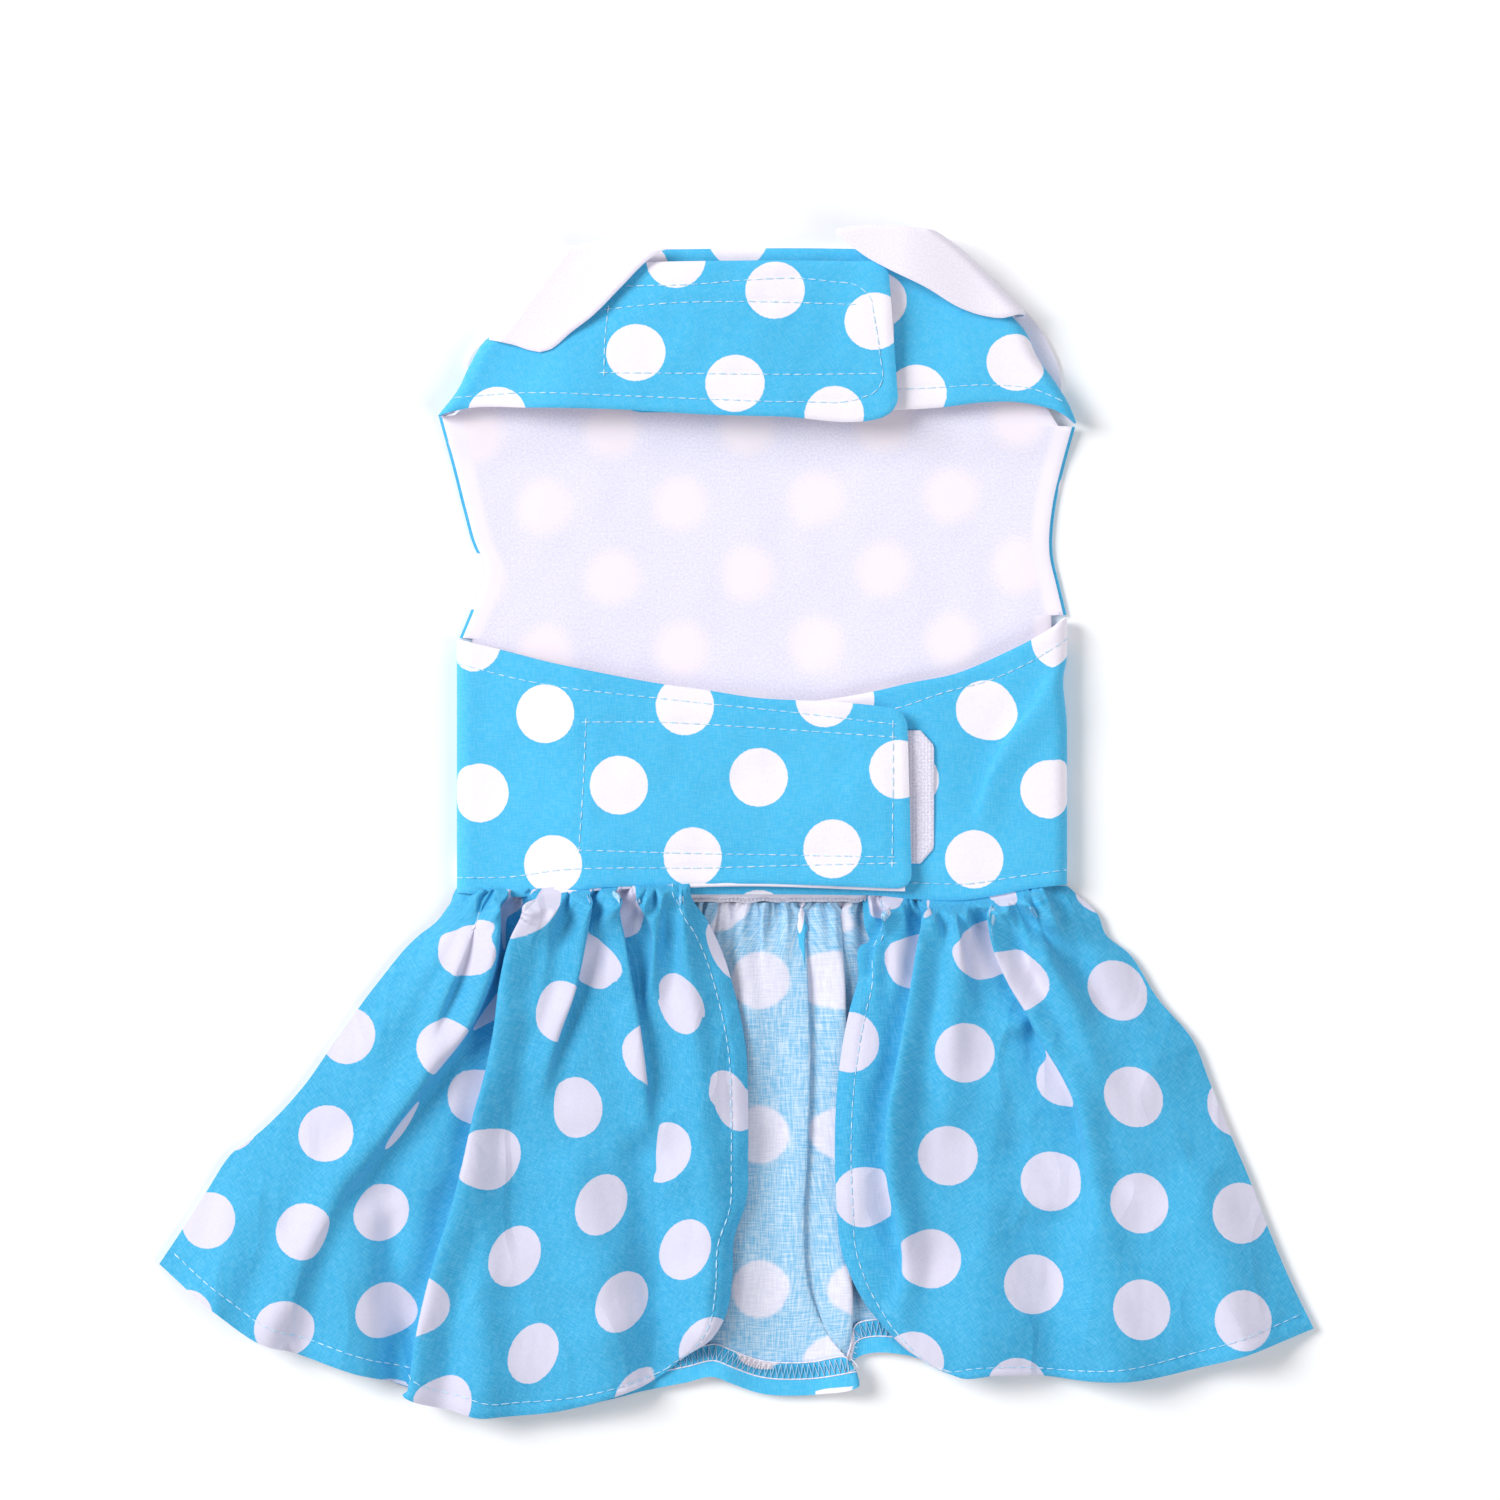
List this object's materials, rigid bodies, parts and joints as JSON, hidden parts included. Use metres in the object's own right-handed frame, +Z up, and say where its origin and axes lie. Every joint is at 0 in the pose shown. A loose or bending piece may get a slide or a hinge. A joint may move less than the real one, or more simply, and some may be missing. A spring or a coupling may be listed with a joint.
{
  "type": "dog dress",
  "caption": "Polka-dot dog dress with a white collar, wide hook-and-loop belly and neck straps and a gathered skirt, lying on its back.",
  "frame": {"origin": "middle of the waist seam, on the surface that the dress lies on", "axes": "+X across the dress to the right as seen from above, +Y from the waist to the neck, +Z up through the belly side"},
  "size_m": [0.383, 0.3937, 0.0211],
  "materials": {
    "printed_cotton": "plain-weave cotton print, white dots on turquoise blue, matt",
    "printed_cotton_reverse": "wrong side of the printed cotton, paler and mottled",
    "white_lining": "thin white plain-weave lining, the print shows through faintly",
    "white_collar": "white two-ply cotton collar, matt",
    "hook_and_loop": "white woven hook-and-loop tape"
  },
  "bodies": {
    "root": {"bodice_back": "printed_cotton", "bodice_lining": "white_lining", "waist_seam": "white_lining", "belly_strap_left": "printed_cotton", "belly_strap_right": "printed_cotton", "belly_hook_patch": "hook_and_loop", "belly_loop_patch": "hook_and_loop", "neck_strap_left": "printed_cotton", "neck_strap_right": "printed_cotton", "neck_hook_patch": "hook_and_loop", "neck_loop_patch": "hook_and_loop", "collar_back": "white_collar", "collar_tip_left": "white_collar", "collar_tip_right": "white_collar", "skirt_back": "printed_cotton_reverse", "skirt_front_left": "printed_cotton", "skirt_front_right": "printed_cotton"}
  },
  "joints": []
}
